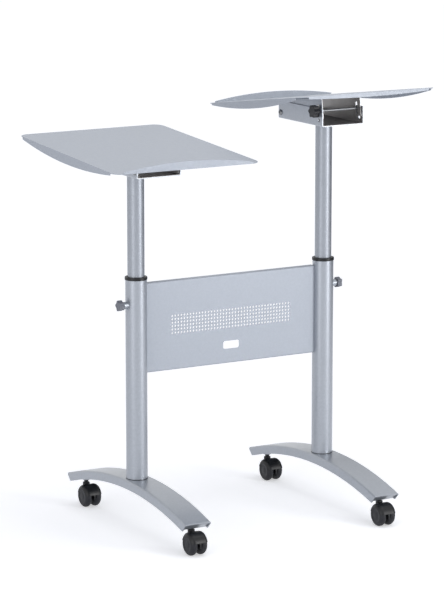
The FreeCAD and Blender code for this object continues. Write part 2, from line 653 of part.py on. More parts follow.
def castor(side, end):
    """A swivelling hood on a stem with two wheels on one axle."""
    seat = (column_x(side), ("-" if end == "front" else "") + "{castor_gap} / 2", "0")
    tag = "castor_%s_%s" % (end, side)
    axle = ("-{castor_trail}", "{wheel_dia} / 2")
    span = "(2 * {wheel_width} + {wheel_space})"
    stem = rod(tag + "_stem", "{stem_dia} / 2", "{stem_top} - {castor_crown} + {past}",
               ("0", "0", "{castor_crown} - {past}"))
    neck = rod(tag + "_neck", "{neck_dia} / 2", "{castor_crown} - {wheel_dia} / 2",
               ("0", "0", "{wheel_dia} / 2"))
    web_at = ("-{web_thick} / 2",) + axle
    hub = rod(tag + "_hub", "{web_dia} / 2", "{web_thick}", web_at, X_AXIS)
    rib = common(tag + "_rib",
                 rod(tag + "_rib_disc", "{wheel_dia} / 2 + {hood_gap} + {hood_wall} / 2",
                     "{web_thick}", web_at, X_AXIS),
                 box(tag + "_rib_box", "{web_thick}", "{wheel_dia} * 2", "{wheel_dia}",
                     ("-{web_thick} / 2", "-{wheel_dia} - {castor_trail}",
                      "{wheel_dia} / 2 + {hood_low}")))
    tread_x = "({wheel_space} / 2 + {wheel_width} / 2)"
    tread_mid = "{wheel_dia} / 2 - {tread_arc}"
    bridge = rod(tag + "_bridge", "{wheel_dia} / 2 + {hood_gap} + {hood_wall} / 2",
                 "2 * " + tread_x, ("-" + tread_x,) + axle, X_AXIS)
    covers = [bridge]
    clears = []
    for letter, sign, from_x in (("a", "-", "-{web_thick} / 2 - {wheel_dia}"),
                                 ("b", "", "{web_thick} / 2")):
        at = (sign + tread_x,) + axle
        covers.append(ring("%s_cover_%s" % (tag, letter), tread_mid,
                           "{tread_arc} + {hood_gap} + {hood_wall}", at))
        room = fuse("%s_room_%s" % (tag, letter),
                    ring("%s_tread_room_%s" % (tag, letter), tread_mid,
                         "{tread_arc} + {hood_gap}", at),
                    rod("%s_face_room_%s" % (tag, letter), "{wheel_face} / 2 + {hood_gap}",
                        "{wheel_dia}", (from_x,) + axle, X_AXIS))
        limit = rod("%s_room_limit_%s" % (tag, letter), "{wheel_dia}", "{wheel_dia}",
                    (from_x,) + axle, X_AXIS)
        clears.append(common("%s_clear_%s" % (tag, letter), room, limit))
    hood = common(tag + "_hood", fuse(tag + "_covers", *covers),
                  box(tag + "_hood_box", span, "{wheel_dia} * 2", "{wheel_dia}",
                      ("-%s / 2" % span, "-{wheel_dia} - {castor_trail}",
                       "{wheel_dia} / 2 + {hood_low}")))
    neck_in = common(tag + "_neck_in", neck,
                     box(tag + "_neck_box", "{web_thick}", "{neck_dia} * 2", "{castor_crown}",
                         ("-{web_thick} / 2", "-{neck_dia}", "{wheel_dia} / 2")))
    crown = rod(tag + "_crown", "{neck_dia} / 2",
                "{castor_crown} - ({wheel_dia} / 2 + sqrt(({wheel_dia} / 2 + {hood_gap} +"
                " {hood_wall} / 2)^2 - ({castor_trail} + {neck_dia} / 2)^2))",
                ("0", "0", "{wheel_dia} / 2 + sqrt(({wheel_dia} / 2 + {hood_gap} +"
                 " {hood_wall} / 2)^2 - ({castor_trail} + {neck_dia} / 2)^2)"))
    pin = rod(tag + "_axle", "{axle_dia} / 2", "%s - 2 * {wheel_cover} - 2 * {axle_end_gap}" % span,
              ("-%s / 2 + {wheel_cover} + {axle_end_gap}" % span,) + axle, X_AXIS)
    frame = cut(tag + "_frame", fuse(tag + "_mass", hub, rib, hood, neck_in, crown, stem),
                *clears)
    node(fuse(tag + "_whole", frame, pin), tag, seat)
    for letter, hand in (("a", "left"), ("b", "right")):
        name = "wheel_%s_%s_%s" % (end, side, letter)
        outward = FreeCAD.Rotation(FreeCAD.Vector(0, 0, 1), 180 if hand == "left" else 0)
        face_x = ("{wheel_space} / 2", "0", "0")
        slab = rod(name + "_slab", "{wheel_dia}", "{wheel_width}", face_x, X_AXIS)
        tread = ring(name + "_ring", tread_mid, "{tread_arc}", (tread_x, "0", "0"))
        core = rod(name + "_core", "{wheel_face} / 2", "{wheel_width}", face_x, X_AXIS)
        form = fuse(name + "_form", common(name + "_tread", slab, tread), core)
        bore = rod(name + "_bore", "{axle_dia} / 2 + {axle_play}",
                   "{wheel_space} / 2 + {wheel_width} - {wheel_cover}", ("0", "0", "0"), X_AXIS)
        whole = cut(name + "_whole", form, bore)
        node(whole, name, (seat[0], seat[1] + " - {castor_trail}", "{wheel_dia} / 2"), outward)


for hand in ("left", "right"):
    foot(hand)
    outer_tube(hand)
    guide_collar(hand)
    inner_tube(hand)
    column_clamp(hand)
    lower_bracket(hand)
    tilt_pivot(hand)
    saddle(hand)
    tilt_clamp(hand)
    shelf(hand)
    for position in ("front", "rear"):
        castor(hand, position)
panel()
doc.recompute()

for obj in doc.Objects:
    if "Invalid" in obj.State or "Error" in obj.State:
        raise RuntimeError("failed object: " + obj.Name)
for obj in NODES:
    if obj.Shape.isNull() or not obj.Shape.isValid() or len(obj.Shape.Solids) != 1:
        raise RuntimeError("bad shape: %s, %d solids" % (obj.Label, len(obj.Shape.Solids)))

os.makedirs("parts", exist_ok=True)
for obj in NODES:
    obj.Shape.exportStep("parts/%s.step" % obj.Label)
print("wrote", len(NODES), "sub-parts")
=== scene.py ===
"""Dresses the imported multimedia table: its finishes, rounded pieces, studio and camera.

Everything is in metres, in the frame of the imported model: +X runs along the panel to the
right, -Y is the user's side and +Z is up.
"""

from __future__ import annotations

import json
import logging
import math
from contextlib import contextmanager
from dataclasses import asdict, dataclass
from enum import Enum
from typing import Callable, Iterator, Sequence

import bmesh
import bpy
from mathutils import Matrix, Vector


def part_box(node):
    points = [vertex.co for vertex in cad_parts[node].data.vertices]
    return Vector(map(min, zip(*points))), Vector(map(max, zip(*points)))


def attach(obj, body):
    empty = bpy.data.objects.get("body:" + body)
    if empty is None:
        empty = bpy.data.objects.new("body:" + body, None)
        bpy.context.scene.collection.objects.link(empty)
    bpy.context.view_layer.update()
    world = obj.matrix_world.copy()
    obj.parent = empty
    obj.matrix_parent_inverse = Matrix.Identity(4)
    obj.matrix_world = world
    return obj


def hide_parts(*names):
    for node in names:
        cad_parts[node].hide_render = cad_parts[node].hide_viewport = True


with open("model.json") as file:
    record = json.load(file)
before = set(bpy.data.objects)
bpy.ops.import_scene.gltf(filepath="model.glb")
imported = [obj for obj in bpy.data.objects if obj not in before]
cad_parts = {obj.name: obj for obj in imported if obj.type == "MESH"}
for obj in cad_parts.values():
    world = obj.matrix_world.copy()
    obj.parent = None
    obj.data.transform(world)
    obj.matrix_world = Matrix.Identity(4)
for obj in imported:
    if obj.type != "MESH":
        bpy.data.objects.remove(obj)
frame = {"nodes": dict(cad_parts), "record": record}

LOG = logging.getLogger("multimedia_table")
MM = 0.001
MERGE = 0.002 * MM
FLAT_DEG = 0.2
BUMP_STRENGTH = 0.35
NOISE_LOW, NOISE_HIGH = 0.3, 0.7

Profile = Sequence[tuple[float, float]]
Test = Callable[[Vector, Vector], bool]


class Side(Enum):
    """The two columns of the table."""

    LEFT = "left"
    RIGHT = "right"


class End(Enum):
    """The two ends of a foot."""

    FRONT = "front"
    REAR = "rear"


class Axis(Enum):
    """The axis that a turned piece is made round."""

    X = 0
    Z = 2


class Pick(Enum):
    """What is selected on the bench."""

    VERT = "VERT"
    EDGE = "EDGE"
    FACE = "FACE"


class Slot(Enum):
    """The material slots of the record."""

    SILVER_PAINT = "silver_paint"
    BLACK_PLASTIC = "black_plastic"
    WHEEL_PLASTIC = "wheel_plastic"
    KNOB_PLASTIC = "knob_plastic"
    GREY_PLASTIC = "grey_plastic"
    ZINC_STEEL = "zinc_steel"


@dataclass(frozen=True)
class ColumnPlan:
    """What one column carries, which way it faces and how deep its shelf's sides are drawn."""

    use: str
    outward: int
    flange_depth: float


PLANS = {Side.LEFT: ColumnPlan("laptop", -1, 0.88), Side.RIGHT: ColumnPlan("projector", 1, 0.75)}


# Finishes


def linear(colour: str) -> tuple[float, float, float, float]:
    """Turns an sRGB hex colour into Blender's linear values.

    Args:
        colour: The colour as #rrggbb.

    Returns:
        Linear red, green and blue, with an alpha of 1.
    """
    parts = []
    for place in (1, 3, 5):
        value = int(colour[place:place + 2], 16) / 255.0
        parts.append(value / 12.92 if value <= 0.04045 else ((value + 0.055) / 1.055) ** 2.4)
    return (parts[0], parts[1], parts[2], 1.0)


def add_node(tree: bpy.types.NodeTree, kind: str, inputs: dict | None = None,
             **settings: object) -> bpy.types.Node:
    """Adds one node with its settings, and sets or links its inputs.

    Args:
        tree: The node tree that the node goes into.
        kind: Blender's name of the node type.
        inputs: For each input, by name or number, a value or the output to link.
        **settings: The node's own properties.

    Returns:
        The new node.
    """
    node = tree.nodes.new(kind)
    for name, value in settings.items():
        setattr(node, name, value)
    for key, value in (inputs or {}).items():
        if isinstance(value, bpy.types.NodeSocket):
            tree.links.new(value, node.inputs[key])
        else:
            node.inputs[key].default_value = value
    return node


def per_metre(size_mm: float) -> float:
    """The texture scale at which one feature of a pattern is size_mm wide."""
    return 1.0 / (size_mm * MM)


@dataclass(frozen=True)
class Finish:
    """A surface with two tones, uneven gloss and a fine bump."""

    name: str
    light: str
    dark: str
    mottle_mm: float
    grain_mm: float
    bump_mm: float
    roughness: float
    rough_spread: float
    metallic: float = 0.0
    ior: float = 1.5
    coat: float = 0.0
    coat_roughness: float = 0.1

    def grain(self, tree: bpy.types.NodeTree, place: bpy.types.NodeSocket) -> bpy.types.NodeSocket:
        """The height pattern of the bump."""
        noise = add_node(tree, "ShaderNodeTexNoise",
                         {"Vector": place, "Scale": per_metre(self.grain_mm), "Detail": 2.0})
        return noise.outputs["Fac"]

    def tone(self, tree: bpy.types.NodeTree, place: bpy.types.NodeSocket) -> bpy.types.NodeSocket:
        """The colour pattern, a blotchy mix of the two tones."""
        mottle = add_node(tree, "ShaderNodeTexNoise",
                          {"Vector": place, "Scale": per_metre(self.mottle_mm), "Detail": 4.0})
        return self.mixed(tree, mottle.outputs["Fac"], linear(self.dark), linear(self.light))

    @staticmethod
    def mixed(tree: bpy.types.NodeTree, share: bpy.types.NodeSocket, low: object,
              high: object) -> bpy.types.NodeSocket:
        """A colour between two others, by a share from 0 to 1."""
        node = add_node(tree, "ShaderNodeMixRGB", {"Fac": share, "Color1": low, "Color2": high})
        return node.outputs["Color"]

    def build(self) -> bpy.types.Material:
        """Makes the material.

        Returns:
            The finished material.
        """
        material = bpy.data.materials.new(self.name)
        material.use_nodes = True
        tree = material.node_tree
        tree.nodes.clear()
        place = add_node(tree, "ShaderNodeTexCoord").outputs["Object"]
        gloss = add_node(tree, "ShaderNodeTexNoise",
                         {"Vector": place, "Scale": per_metre(self.mottle_mm * 2), "Detail": 3.0})
        rough = add_node(tree, "ShaderNodeMapRange",
                         {"Value": gloss.outputs["Fac"], "From Min": NOISE_LOW,
                          "From Max": NOISE_HIGH, "To Min": self.roughness - self.rough_spread,
                          "To Max": self.roughness + self.rough_spread})
        bump = add_node(tree, "ShaderNodeBump",
                        {"Height": self.grain(tree, place), "Strength": BUMP_STRENGTH,
                         "Distance": self.bump_mm * MM})
        shader = add_node(tree, "ShaderNodeBsdfPrincipled",
                          {"Base Color": self.tone(tree, place),
                           "Roughness": rough.outputs["Result"], "Normal": bump.outputs["Normal"],
                           "Metallic": self.metallic, "IOR": self.ior, "Coat Weight": self.coat,
                           "Coat Roughness": self.coat_roughness})
        add_node(tree, "ShaderNodeOutputMaterial", {"Surface": shader.outputs["BSDF"]})
        return material


@dataclass(frozen=True)
class ShadedInsideFinish(Finish):
    """A coat on the outside of a channel, with painted shade on its inside: a darker grey where the
    channel's cheeks keep the light out.
    """

    # Painted shade: the darker grey drawn inside the channel, where its cheeks and the shelf above
    # shade it.
    inside_shade: str = "#a3a09e"
    middle_mm: float = 0.0
    half_mm: float = 50.0
    above_mm: float = 0.0

    def tone(self, tree: bpy.types.NodeTree, place: bpy.types.NodeSocket) -> bpy.types.NodeSocket:
        """The coat's colour outside, and a painted shade colour between the cheeks."""
        coat = super().tone(tree, place)
        split = add_node(tree, "ShaderNodeSeparateXYZ", {"Vector": place})
        off = add_node(tree, "ShaderNodeMath", {0: split.outputs["X"], 1: self.middle_mm * MM},
                       operation="SUBTRACT")
        away = add_node(tree, "ShaderNodeMath", {0: off.outputs[0]}, operation="ABSOLUTE")
        between = add_node(tree, "ShaderNodeMath", {0: away.outputs[0], 1: self.half_mm * MM},
                           operation="LESS_THAN")
        above = add_node(tree, "ShaderNodeMath", {0: split.outputs["Z"], 1: self.above_mm * MM},
                         operation="GREATER_THAN")
        # The mask of the painted shade: between the cheeks and above the channel's floor.
        inside = add_node(tree, "ShaderNodeMath", {0: between.outputs[0], 1: above.outputs[0]},
                          operation="MULTIPLY")
        return self.mixed(tree, inside.outputs[0], coat, linear(self.inside_shade))


# Silver powder coat on steel: flakes under a satin clear film give a cool grey that
# brightens at a glancing angle. Real flakes are 0.05 mm and the film's ripple 1 mm, too fine
# to show, so both are drawn coarser.
SILVER_COAT = Finish("silver_powder_coat", "#b0b5bd", "#9fa4ab", mottle_mm=5.0, grain_mm=2.5,
                     bump_mm=0.015, roughness=0.36, rough_spread=0.04, metallic=0.6, coat=0.2,
                     coat_roughness=0.14)
# The same coat on the thin sheet of panel and shelves: a coarser orange peel spreads its gloss.
SILVER_SHEET = Finish("silver_powder_coat_on_sheet", "#b6bcc5", "#a8aeb7", mottle_mm=5.0,
                      grain_mm=3.5, bump_mm=0.02, roughness=0.52, rough_spread=0.04, metallic=0.3,
                      coat=0.1, coat_roughness=0.2)
# The same coat on the sliding tubes, a little darker and rougher.
SILVER_TUBE = Finish("silver_powder_coat_on_sliding_tube", "#a9aeb6", "#999ea5", mottle_mm=5.0,
                     grain_mm=2.5, bump_mm=0.015, roughness=0.4, rough_spread=0.04, metallic=0.55,
                     coat=0.14, coat_roughness=0.17)
# Moulded black nylon of the castor wheels: semi-matt, with a faint blue-grey bloom.
BLACK_NYLON = Finish("moulded_black_nylon", "#1f2027", "#17181d", mottle_mm=7.0, grain_mm=1.6,
                     bump_mm=0.03, roughness=0.5, rough_spread=0.08, ior=1.42)
# Black acetal and ABS of the hoods and collars: a little darker and glossier than the wheels.
BLACK_ABS = Finish("moulded_black_abs", "#17181c", "#0f1013", mottle_mm=8.0, grain_mm=1.8,
                   bump_mm=0.025, roughness=0.4, rough_spread=0.06, ior=1.42)
# Glass-filled black grip plastic: a spark-eroded mould leaves a matt, grainy skin.
GRIP_BLACK = Finish("grained_black_grip", "#26262a", "#19191c", mottle_mm=5.0, grain_mm=1.2,
                    bump_mm=0.05, roughness=0.55, rough_spread=0.06, ior=1.55)
# The same grip plastic in mid grey on the column clamps.
GRIP_GREY = Finish("grained_grey_grip", "#7d8089", "#6b6e77", mottle_mm=5.0, grain_mm=1.2,
                   bump_mm=0.05, roughness=0.5, rough_spread=0.06, ior=1.55)
# Bright zinc plate on turned steel: a cool metal with cloudy passivation.
ZINC_PLATE = Finish("bright_zinc_plate", "#97989a", "#7f8183", mottle_mm=6.0, grain_mm=0.8,
                    bump_mm=0.01, roughness=0.48, rough_spread=0.07, metallic=1.0)

FINISHES = {Slot.SILVER_PAINT: SILVER_COAT, Slot.BLACK_PLASTIC: BLACK_ABS,
            Slot.WHEEL_PLASTIC: BLACK_NYLON, Slot.KNOB_PLASTIC: GRIP_BLACK,
            Slot.GREY_PLASTIC: GRIP_GREY, Slot.ZINC_STEEL: ZINC_PLATE}


def coat_with_inside_shade(node: str, half_mm: float, rise_mm: float) -> ShadedInsideFinish:
    """The silver coat for one channel of a bracket, with painted shade on its inside.

    Args:
        node: The channel's CAD node.
        half_mm: How far from the channel's middle its inside reaches.
        rise_mm: How far above the channel's lowest point its inside starts.

    Returns:
        The finish.
    """
    low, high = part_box(node)
    own = {"name": "silver_powder_coat_" + node, "middle_mm": (low.x + high.x) / 2 / MM,
           "half_mm": half_mm, "above_mm": low.z / MM + rise_mm}
    return ShadedInsideFinish(**{**asdict(SILVER_COAT), **own})


# The bench


class Bench:
    """Works on one mesh with Blender's operators, as by hand."""

    def __init__(self, obj: bpy.types.Object) -> None:
        """Puts an object on the bench."""
        self.obj = obj

    @staticmethod
    def clear() -> None:
        """Deselects everything."""
        for obj in bpy.context.selected_objects:
            obj.select_set(False)

    @classmethod
    def take(cls, name: str) -> "Bench":
        """Takes the primitive that was just added, with its place put into its mesh."""
        obj = bpy.context.object
        obj.name = name
        obj.data.name = name
        bpy.ops.object.transform_apply(location=True, rotation=True, scale=True)
        return cls(obj)

    @classmethod
    def copy_of(cls, node: str, name: str) -> "Bench":
        """Takes a copy of a CAD node's mesh, merged into one skin.

        Args:
            node: The CAD node.
            name: The name of the new piece.

        Returns:
            The bench with the copy.
        """
        cls.clear()
        obj = bpy.data.objects.new(name, frame["nodes"][node].data.copy())
        obj.data.name = name
        obj.data.materials.clear()
        bpy.context.scene.collection.objects.link(obj)
        bench = cls(obj)
        bench.hold()
        with bench.edit():
            bpy.ops.mesh.select_all(action="SELECT")
            bpy.ops.mesh.remove_doubles(threshold=MERGE)
            bpy.ops.mesh.dissolve_limited(angle_limit=math.radians(FLAT_DEG))
        return bench

    def hold(self) -> None:
        """Makes this object the only selected and the active one."""
        self.clear()
        self.obj.select_set(True)
        bpy.context.view_layer.objects.active = self.obj

    @contextmanager
    def edit(self) -> Iterator[None]:
        """Edit mode for the length of a with block."""
        self.hold()
        bpy.ops.object.mode_set(mode="EDIT")
        bpy.ops.mesh.select_mode(type=Pick.VERT.value)
        yield
        bpy.ops.object.mode_set(mode="OBJECT")

    def pick(self, kind: Pick, test: Test) -> None:
        """Selects vertices, edges or faces, in edit mode.

        Args:
            kind: What to select.
            test: Tells from a place, and a normal or an edge's direction, whether it is wanted.
        """
        bpy.ops.mesh.select_mode(type=kind.value)
        bpy.ops.mesh.select_all(action="DESELECT")
        mesh = bmesh.from_edit_mesh(self.obj.data)
        if kind is Pick.VERT:
            wanted = [v for v in mesh.verts if test(v.co, v.normal)]
        elif kind is Pick.EDGE:
            wanted = [e for e in mesh.edges
                      if test((e.verts[0].co + e.verts[1].co) / 2,
                              (e.verts[1].co - e.verts[0].co).normalized())]
        else:
            wanted = [f for f in mesh.faces if test(f.calc_center_median(), f.normal)]
        for item in wanted:
            item.select_set(True)
        mesh.select_flush_mode()
        bmesh.update_edit_mesh(self.obj.data)

    def modify(self, kind: str, **settings: object) -> None:
        """Adds a modifier with its settings and applies it."""
        self.hold()
        modifier = self.obj.modifiers.new(kind.lower(), kind)
        for name, value in settings.items():
            setattr(modifier, name, value)
        bpy.ops.object.modifier_apply(modifier=modifier.name)

    def copied(self, name: str, shift: Vector) -> "Bench":
        """A copy of this piece with its own mesh, moved by a shift.

        Args:
            name: The name of the copy.
            shift: How far the copy's mesh is moved.

        Returns:
            The bench with the copy.
        """
        obj = self.obj.copy()
        obj.data = self.obj.data.copy()
        obj.name = obj.data.name = name
        bpy.context.scene.collection.objects.link(obj)
        bench = Bench(obj)
        with bench.edit():
            bpy.ops.mesh.select_all(action="SELECT")
            bpy.ops.transform.translate(value=shift)
        return bench

    def close(self) -> None:
        """Merges doubled points and turns all faces outwards."""
        with self.edit():
            bpy.ops.mesh.select_all(action="SELECT")
            bpy.ops.mesh.remove_doubles(threshold=MERGE)
            bpy.ops.mesh.normals_make_consistent(inside=False)

    def smooth(self, angle_deg: float = 35.0) -> None:
        """Shades smooth across edges flatter than an angle, and keeps large faces flat."""
        self.hold()
        bpy.ops.object.shade_smooth_by_angle(angle=math.radians(angle_deg))
        self.modify("WEIGHTED_NORMAL", keep_sharp=True)

    def deliver(self, body: str, slot: Slot, materials: "Paintshop",
                *nodes: str) -> bpy.types.Object:
        """Dresses the piece and hands it to its body.

        Args:
            body: The CAD body that it rides on.
            slot: The material slot of its finish.
            materials: The shop with the finishes.
            *nodes: The CAD nodes that it stands for.

        Returns:
            The finished object.
        """
        self.obj.data.materials.clear()
        self.obj.data.materials.append(materials.of(slot))
        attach(self.obj, body)
        if nodes:
            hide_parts(*nodes)
        LOG.info("%s: %d faces on %s", self.obj.name, len(self.obj.data.polygons), body)
        return self.obj


def along(axis: Axis, length: float) -> Vector:
    """A vector of a length along an axis."""
    vector = Vector((0.0, 0.0, 0.0))
    vector[axis.value] = length
    return vector


def turned(name: str, axis: Axis, centre: Vector, profile: Profile, hollow: bool = False,
           segments: int = 48) -> Bench:
    """Turns a piece: a circle extruded and resized from step to step of its profile.

    Args:
        name: The piece's name.
        axis: The axis that it is turned round.
        centre: The place that the profile is measured from.
        profile: Steps of (distance along the axis, radius), in metres.
        hollow: Whether the profile closes on itself round a bore.
        segments: The number of sides.

    Returns:
        The bench with the piece.
    """
    Bench.clear()
    start, radius = profile[0]
    turn = (0.0, math.pi / 2, 0.0) if axis is Axis.X else (0.0, 0.0, 0.0)
    bpy.ops.mesh.primitive_circle_add(vertices=segments, radius=radius, rotation=turn,
                                      fill_type="NOTHING" if hollow else "NGON",
                                      location=centre + along(axis, start))
    bench = Bench.take(name)
    steps = list(profile[1:]) + ([profile[0]] if hollow else [])
    with bench.edit():
        bpy.ops.mesh.select_all(action="SELECT")
        for place, wide in steps:
            bpy.ops.mesh.extrude_region_move(
                TRANSFORM_OT_translate={"value": along(axis, place - start)})
            scale = [wide / radius] * 3
            scale[axis.value] = 1.0
            bpy.ops.transform.resize(value=scale, orient_type="GLOBAL",
                                     center_override=centre + along(axis, place))
            start, radius = place, wide
    bench.close()
    return bench


class Paintshop:
    """Keeps one material for each finish."""

    def __init__(self) -> None:
        """Opens with an empty shelf."""
        self.shelf: dict[str, bpy.types.Material] = {}

    def mix(self, finish: Finish) -> bpy.types.Material:
        """The material of a finish, made when it is first asked for."""
        if finish.name not in self.shelf:
            self.shelf[finish.name] = finish.build()
        return self.shelf[finish.name]

    def of(self, slot: Slot) -> bpy.types.Material:
        """The material of a slot."""
        return self.mix(FINISHES[slot])

    def coat(self, record: dict) -> None:
        """Puts each CAD node's finish on its own object.

        Args:
            record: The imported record.
        """
        for part in record["subparts"]:
            mesh = frame["nodes"][part["node"]].data
            mesh.materials.clear()
            mesh.materials.append(self.of(Slot(part["material_slot"])))
        for side in Side:
            tube = frame["nodes"]["inner_tube_" + side.value].data
            tube.materials[0] = self.mix(SILVER_TUBE)


# Pieces


@dataclass
class StarGrip:
    """A star-shaped hand grip with rounded lobes and a hub."""

    node: str
    screw: str
    body: str
    slot: Slot
    lobes: int
    outward: int
    steps: int = 12
    waist: float = 0.76
    crown_inset: float = 0.22
    crown_sink: float = 0.08
    hub_inset: float = 0.3
    hub_sink: float = 0.12
    round_off: float = 0.09

    def build(self, shop: Paintshop) -> None:
        """Makes the grip in the place of its node.

        Args:
            shop: The shop with the finishes.
        """
        low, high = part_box(self.node)
        screw_low, screw_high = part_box(self.screw)
        middle = (screw_low + screw_high) / 2
        radius = max(high.y - middle.y, middle.y - low.y, high.z - middle.z, middle.z - low.z)
        length = high.x - low.x
        centre = Vector(((low.x + high.x) / 2, middle.y, middle.z))
        Bench.clear()
        bpy.ops.mesh.primitive_cylinder_add(vertices=self.lobes * self.steps, radius=radius,
                                            depth=length, location=centre,
                                            rotation=(0.0, math.pi / 2, 0.0))
        bench = Bench.take("grip_" + self.node)
        with bench.edit():
            self.scallop(bench, centre)
            self.dome(bench, radius, length)
        bench.modify("BEVEL", width=self.round_off * radius, segments=3, limit_method="ANGLE",
                     angle_limit=math.radians(50))
        bench.smooth(50.0)
        bench.deliver(self.body, self.slot, shop, self.node)

    def scallop(self, bench: Bench, centre: Vector) -> None:
        """Draws the rim in between the lobes, one ring of like points at a time."""
        pitch = 2 * math.pi / self.lobes
        for step in range(1, self.steps // 2 + 1):
            share = math.sin(math.pi * step / self.steps) ** 2
            wanted = pitch * step / self.steps

            def in_step(place: Vector, _: Vector) -> bool:
                """Whether a rim point is this far from its lobe's peak."""
                angle = math.atan2(place.z - centre.z, place.y - centre.y) % pitch
                return abs(min(angle, pitch - angle) - wanted) < 0.1 * pitch / self.steps

            bench.pick(Pick.VERT, in_step)
            scale = 1 - (1 - self.waist) * share
            bpy.ops.transform.resize(value=(1.0, scale, scale), orient_type="GLOBAL",
                                     center_override=centre)

    def dome(self, bench: Bench, radius: float, length: float) -> None:
        """Draws in the outer face to a low crown and the inner face to a hub."""
        bench.pick(Pick.FACE, lambda _, normal: normal.x * self.outward > 0.9)
        bpy.ops.mesh.inset(thickness=self.crown_inset * radius, depth=0.0)
        bpy.ops.transform.translate(value=(-self.crown_sink * length * self.outward, 0.0, 0.0))
        bench.pick(Pick.FACE, lambda _, normal: normal.x * self.outward < -0.9)
        bpy.ops.mesh.inset(thickness=self.hub_inset * radius, depth=0.0)
        bpy.ops.transform.translate(value=(self.hub_sink * length * self.outward, 0.0, 0.0))


@dataclass
class TwinCastor:
    """A castor with two barrel-shaped wheels under one hood, modelled once and copied."""

    wheel_from: float = 3.0 * MM
    wheel_width: float = 17.5 * MM
    wheel_radius: float = 25.0 * MM
    barrel: float = 0.36
    trail: float = 16.0 * MM
    hood_wall: float = 1.0 * MM
    hood_low: float = 6.0 * MM
    web: float = 1.6 * MM
    neck: float = 8.0 * MM
    stem: float = 5.0 * MM
    neck_length: float = 14.0 * MM
    crown: float = 54.0 * MM
    stem_top: float = 71.0 * MM
    web_radius: float = 26.2 * MM
    axle_half: float = 19.0 * MM
    axle: float = 3.5 * MM
    round_off: float = 0.35 * MM
    hood_edge: Profile = ((21.2, 16.5), (21.0, 18.5), (20.2, 21.0), (18.6, 23.6), (16.2, 25.6),
                          (13.8, 26.5), (11.5, 26.7))
    wheel_face: Profile = ((0.97, 0.6), (0.945, 0.55), (0.935, 0.34), (0.96, 0.3), (0.98, 0.2),
                           (0.985, 0.1))

    def build(self, shop: Paintshop) -> None:
        """Makes the pieces of one castor and copies them to the other three.

        Args:
            shop: The shop with the finishes.
        """
        hub = Vector((0.0, -self.trail, self.wheel_radius))
        hood = self.hood(hub)
        wheels = {"a": self.wheel(hub, -1), "b": self.wheel(hub, 1)}
        for side in Side:
            for end in End:
                corner = end.value + "_" + side.value
                low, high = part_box("wheel_%s_b" % corner)
                other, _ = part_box("wheel_%s_a" % corner)
                shift = Vector(((other.x + high.x) / 2, (low.y + high.y) / 2 + self.trail, low.z))
                node = "castor_" + corner
                hood.copied("hood_" + node, shift).deliver(node, Slot.BLACK_PLASTIC, shop, node)
                for letter, wheel in wheels.items():
                    node = "wheel_%s_%s" % (corner, letter)
                    wheel.copied("tyre_" + node, shift).deliver(node, Slot.WHEEL_PLASTIC, shop,
                                                                node)
        for bench in (hood, *wheels.values()):
            bpy.data.meshes.remove(bench.obj.data)

    def wheel(self, hub: Vector, outward: int) -> Bench:
        """Turns one wheel: a round tread and a dished cover outside.

        Args:
            hub: The middle of the castor's axle.
            outward: The side of the castor, -1 or 1 along X.

        Returns:
            The bench with the wheel.
        """
        turns = [math.pi * step / 12 for step in range(13)]
        shape = [(0.0, 0.3)]
        shape += [(0.5 - 0.5 * math.cos(turn), 1 - self.barrel + self.barrel * math.sin(turn))
                  for turn in turns]
        shape += self.wheel_face
        centre = hub + along(Axis.X, self.wheel_from * outward)
        profile = [(x * self.wheel_width * outward, r * self.wheel_radius) for x, r in shape]
        bench = turned("wheel", Axis.X, centre, profile, segments=64)
        bench.smooth(40.0)
        return bench

    def hood(self, hub: Vector) -> Bench:
        """Makes the hood over both wheels, with its web, axle, neck and stem.

        Args:
            hub: The middle of the castor's axle.

        Returns:
            The bench with the hood.
        """
        outline = [(-x * MM, r * MM) for x, r in self.hood_edge]
        outline += [(-x, r) for x, r in reversed(outline)]
        bench = turned("hood", Axis.X, hub, outline, segments=72)
        with bench.edit():
            bench.pick(Pick.FACE, lambda _, normal: abs(normal.x) > 0.99)
            bpy.ops.mesh.delete(type="FACE")
            bpy.ops.mesh.select_all(action="SELECT")
            bpy.ops.mesh.bisect(plane_co=hub + along(Axis.Z, self.hood_low),
                                plane_no=(0.0, 0.0, -1.0), clear_outer=True)
        bench.modify("SOLIDIFY", thickness=self.hood_wall, offset=-1.0, use_even_offset=True)
        plate = turned("web", Axis.X, hub, self.disc(self.web, self.web_radius), segments=72)
        with plate.edit():
            bpy.ops.mesh.select_all(action="SELECT")
            bpy.ops.mesh.bisect(plane_co=hub + along(Axis.Z, -self.hood_low),
                                plane_no=(0.0, 0.0, -1.0), clear_outer=True, use_fill=True)
        post = turned("neck", Axis.Z, Vector(),
                      [(self.crown - self.neck_length, self.neck),
                       (self.crown - 1.2 * MM, self.neck),
                       (self.crown - 0.3 * MM, self.neck - 0.4 * MM),
                       (self.crown, self.neck - 1.4 * MM), (self.crown, self.stem),
                       (self.stem_top - MM, self.stem), (self.stem_top, self.stem - MM)])
        axle = turned("axle", Axis.X, hub, self.disc(self.axle_half, self.axle))
        for part in (plate, axle, post):
            bench.modify("BOOLEAN", operation="UNION", solver="EXACT", object=part.obj)
            bpy.data.meshes.remove(part.obj.data)
        bench.close()
        bench.modify("BEVEL", width=self.round_off, segments=2, limit_method="ANGLE",
                     angle_limit=math.radians(50))
        bench.smooth(40.0)
        return bench

    @staticmethod
    def disc(half: float, radius: float) -> Profile:
        """The profile of a disc with broken edges."""
        edge = 0.4 * MM
        return [(-half, radius - edge), (-half + edge, radius), (half - edge, radius),
                (half, radius - edge)]


